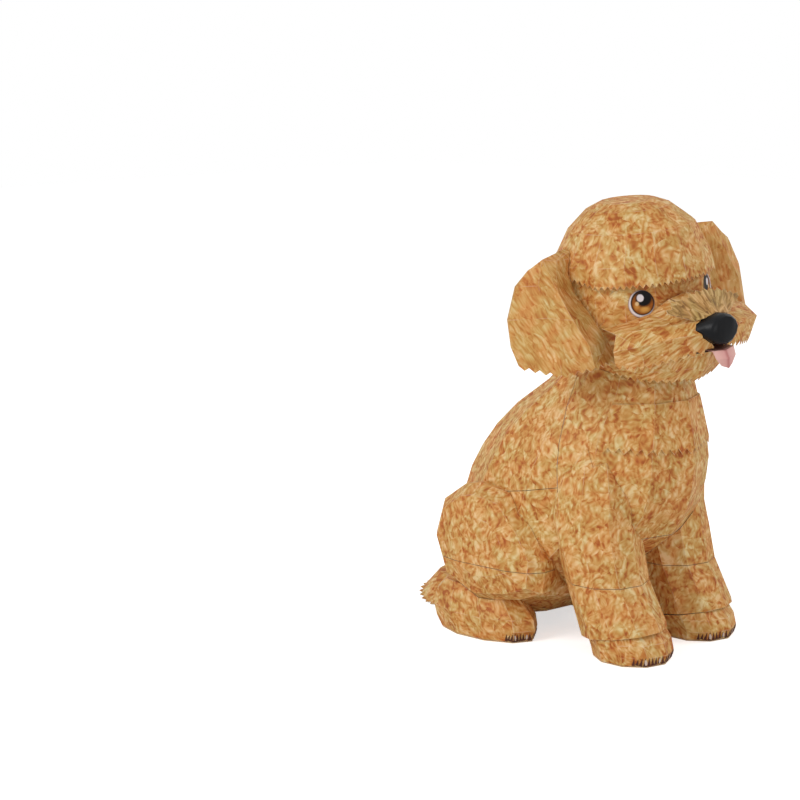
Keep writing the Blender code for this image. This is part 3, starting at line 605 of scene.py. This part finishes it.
# Claws and the dark hairs between them: slips of print in a row that bends round the front of each paw. Each
# paw has the row's radius and the sole that its centre stands on.
clawRow = {
    "claws": {"Count": 4, "Spread": 0.62, "Width": 0.0011, "Height": 0.0026, "Foot": 0.0030,
              "Corners": 8, "Seed": 3},
    "dark": {"Count": 19, "Spread": 0.95, "Width": 0.0021, "Height": 0.0050, "Foot": 0.0024,
             "Corners": 3, "Seed": 11},
    "lift": {"claws": 0.00040, "dark": 0.00028}, "thickness": 0.00010, "reach": 0.045,
    "tilt": 0.25, "smallest": 0.7, "largest": 1.3,
    "paws": {"forepaw": (0.019, "forepaw_sole"), "hind_foot": (0.016, "hind_sole")},
    "clawColour": (0.62, 0.50, 0.42, 1.0), "clawRoughness": 0.5, "hairColour": (0.085, 0.022, 0.010, 1.0),
}
clawInputs = {"Geometry": "Geometry", "Count": "Int", "Spread": "Float", "Width": "Float", "Height": "Float",
              "Foot": "Float", "Corners": "Int", "Seed": "Int", "Lift": "Float", "Radius": "Float",
              "Centre": "Vector", "Print": "Material"}


def makeClawTree():
    tree = bpy.data.node_groups.new("clawRow", "GeometryNodeTree")
    sockets = {}
    for label, kind in clawInputs.items():
        made = tree.interface.new_socket(name=label, in_out="INPUT", socket_type="NodeSocket" + kind)
        sockets[label] = made.identifier
    tree.interface.new_socket(name="Geometry", in_out="OUTPUT", socket_type="NodeSocketGeometry")
    given = tree.nodes.new("NodeGroupInput").outputs
    halfWay = calc(tree, "MULTIPLY", given["Spread"], given["Radius"])
    start = addNode(tree, "ShaderNodeCombineXYZ", {0: calc(tree, "MULTIPLY", halfWay, -1.0),
                                                   2: given["Foot"]})
    end = addNode(tree, "ShaderNodeCombineXYZ", {0: halfWay, 2: given["Foot"]})
    row = addNode(tree, "GeometryNodeMeshLine", {"Count": given["Count"], "Start Location": start.outputs[0],
                                                 "Offset": end.outputs[0]}, mode="END_POINTS")
    slip = addNode(tree, "GeometryNodeMeshCircle", {"Vertices": given["Corners"], "Radius": 0.5},
                   fill_type="NGON")
    for turn in ((0.0, 0.0, math.pi / 2), (math.pi / 2, 0.0, 0.0)):
        slip = addNode(tree, "GeometryNodeTransform", {"Geometry": slip.outputs[0], "Rotation": turn})
    tilt = addNode(tree, "FunctionNodeRandomValue",
                   {"Min": (0.0, -clawRow["tilt"], 0.0), "Max": (0.0, clawRow["tilt"], 0.0),
                    "Seed": given["Seed"]}, data_type="FLOAT_VECTOR")
    grow = addNode(tree, "FunctionNodeRandomValue",
                   {2: clawRow["smallest"], 3: clawRow["largest"], "Seed": given["Seed"]}, data_type="FLOAT")
    tall = calc(tree, "MULTIPLY", given["Height"], grow.outputs[1])
    size = addNode(tree, "ShaderNodeCombineXYZ", {0: given["Width"], 1: 1.0, 2: tall})
    slips = addNode(tree, "GeometryNodeInstanceOnPoints",
                    {"Points": row.outputs[0], "Instance": slip.outputs[0], "Rotation": tilt.outputs[0],
                     "Scale": size.outputs[0]})
    flat = addNode(tree, "GeometryNodeRealizeInstances", {0: slips.outputs[0]})
    place = addNode(tree, "ShaderNodeSeparateXYZ", {0: addNode(tree, "GeometryNodeInputPosition").outputs[0]})
    angle = calc(tree, "DIVIDE", place.outputs[0], given["Radius"])
    ahead = calc(tree, "MULTIPLY", calc(tree, "COSINE", angle), -1.0)
    outward = addNode(tree, "ShaderNodeCombineXYZ", {0: calc(tree, "SINE", angle), 1: ahead})
    level = addNode(tree, "ShaderNodeCombineXYZ", {2: place.outputs[2]})
    far = vectorCalc(tree, "ADD", vectorCalc(tree, "ADD", given["Centre"], level.outputs[0]),
                     scaled(tree, outward.outputs[0], clawRow["reach"]))
    cast = addNode(tree, "GeometryNodeRaycast", {"Target Geometry": given["Geometry"], "Source Position": far,
                                                 "Ray Direction": scaled(tree, outward.outputs[0], -1.0),
                                                 "Ray Length": clawRow["reach"]})
    raised = scaled(tree, cast.outputs["Hit Normal"], given["Lift"])
    landed = vectorCalc(tree, "ADD", cast.outputs["Hit Position"], raised)
    missed = addNode(tree, "FunctionNodeBooleanMath", {0: cast.outputs["Is Hit"]}, operation="NOT")
    kept = addNode(tree, "GeometryNodeDeleteGeometry", {"Geometry": flat.outputs[0],
                                                        "Selection": missed.outputs[0]})
    laid = addNode(tree, "GeometryNodeSetPosition", {"Geometry": kept.outputs[0], "Position": landed})
    painted = addNode(tree, "GeometryNodeSetMaterial", {"Geometry": laid.outputs[0],
                                                        "Material": given["Print"]})
    result = tree.nodes.new("NodeGroupOutput")
    tree.links.new(painted.outputs[0], result.inputs[0])
    return tree, sockets


def layClaws(paw, side, kind, tree, sockets, printed):
    carrier = card[f"{paw}_{side}"]
    radius, sole = clawRow["paws"][paw]
    low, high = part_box(f"{sole}_{side}")
    centre = Vector(((low.x + high.x) / 2, low.y + radius, 0.0))
    worker = bpy.data.objects.new("worker", carrier.data.copy())
    scene.collection.objects.link(worker)
    nodes = worker.modifiers.new("clawRow", "NODES")
    nodes.node_group = tree
    for label, value in clawRow[kind].items():
        nodes[sockets[label]] = value
    nodes[sockets["Lift"]], nodes[sockets["Radius"]] = clawRow["lift"][kind], radius
    nodes[sockets["Centre"]], nodes[sockets["Print"]] = centre, printed
    bpy.context.view_layer.update()
    graph = bpy.context.evaluated_depsgraph_get()
    mesh = bpy.data.meshes.new_from_object(worker.evaluated_get(graph), depsgraph=graph)
    bpy.data.objects.remove(worker)
    bm = bmesh.new()
    bm.from_mesh(mesh)
    bm.normal_update()
    wrong = [face for face in bm.faces if face.normal.dot(face.calc_center_median() - centre) < 0]
    bmesh.ops.reverse_faces(bm, faces=wrong)
    piece = placePiece(bm, f"{kind}_{paw}_{side}", (printed,))
    thicken = piece.modifiers.new("card", "SOLIDIFY")
    thicken.thickness, thicken.offset = clawRow["thickness"], -1.0


clawTree, clawSockets = makeClawTree()
clawPrints = {"claws": plainMaterial("clawPale", clawRow["clawColour"], clawRow["clawRoughness"]),
              "dark": plainMaterial("clawDark", clawRow["hairColour"])}
for paw in clawRow["paws"]:
    for side in ("right", "left"):
        for kind, printed in clawPrints.items():
            layClaws(paw, side, kind, clawTree, clawSockets, printed)
print("claws ready")
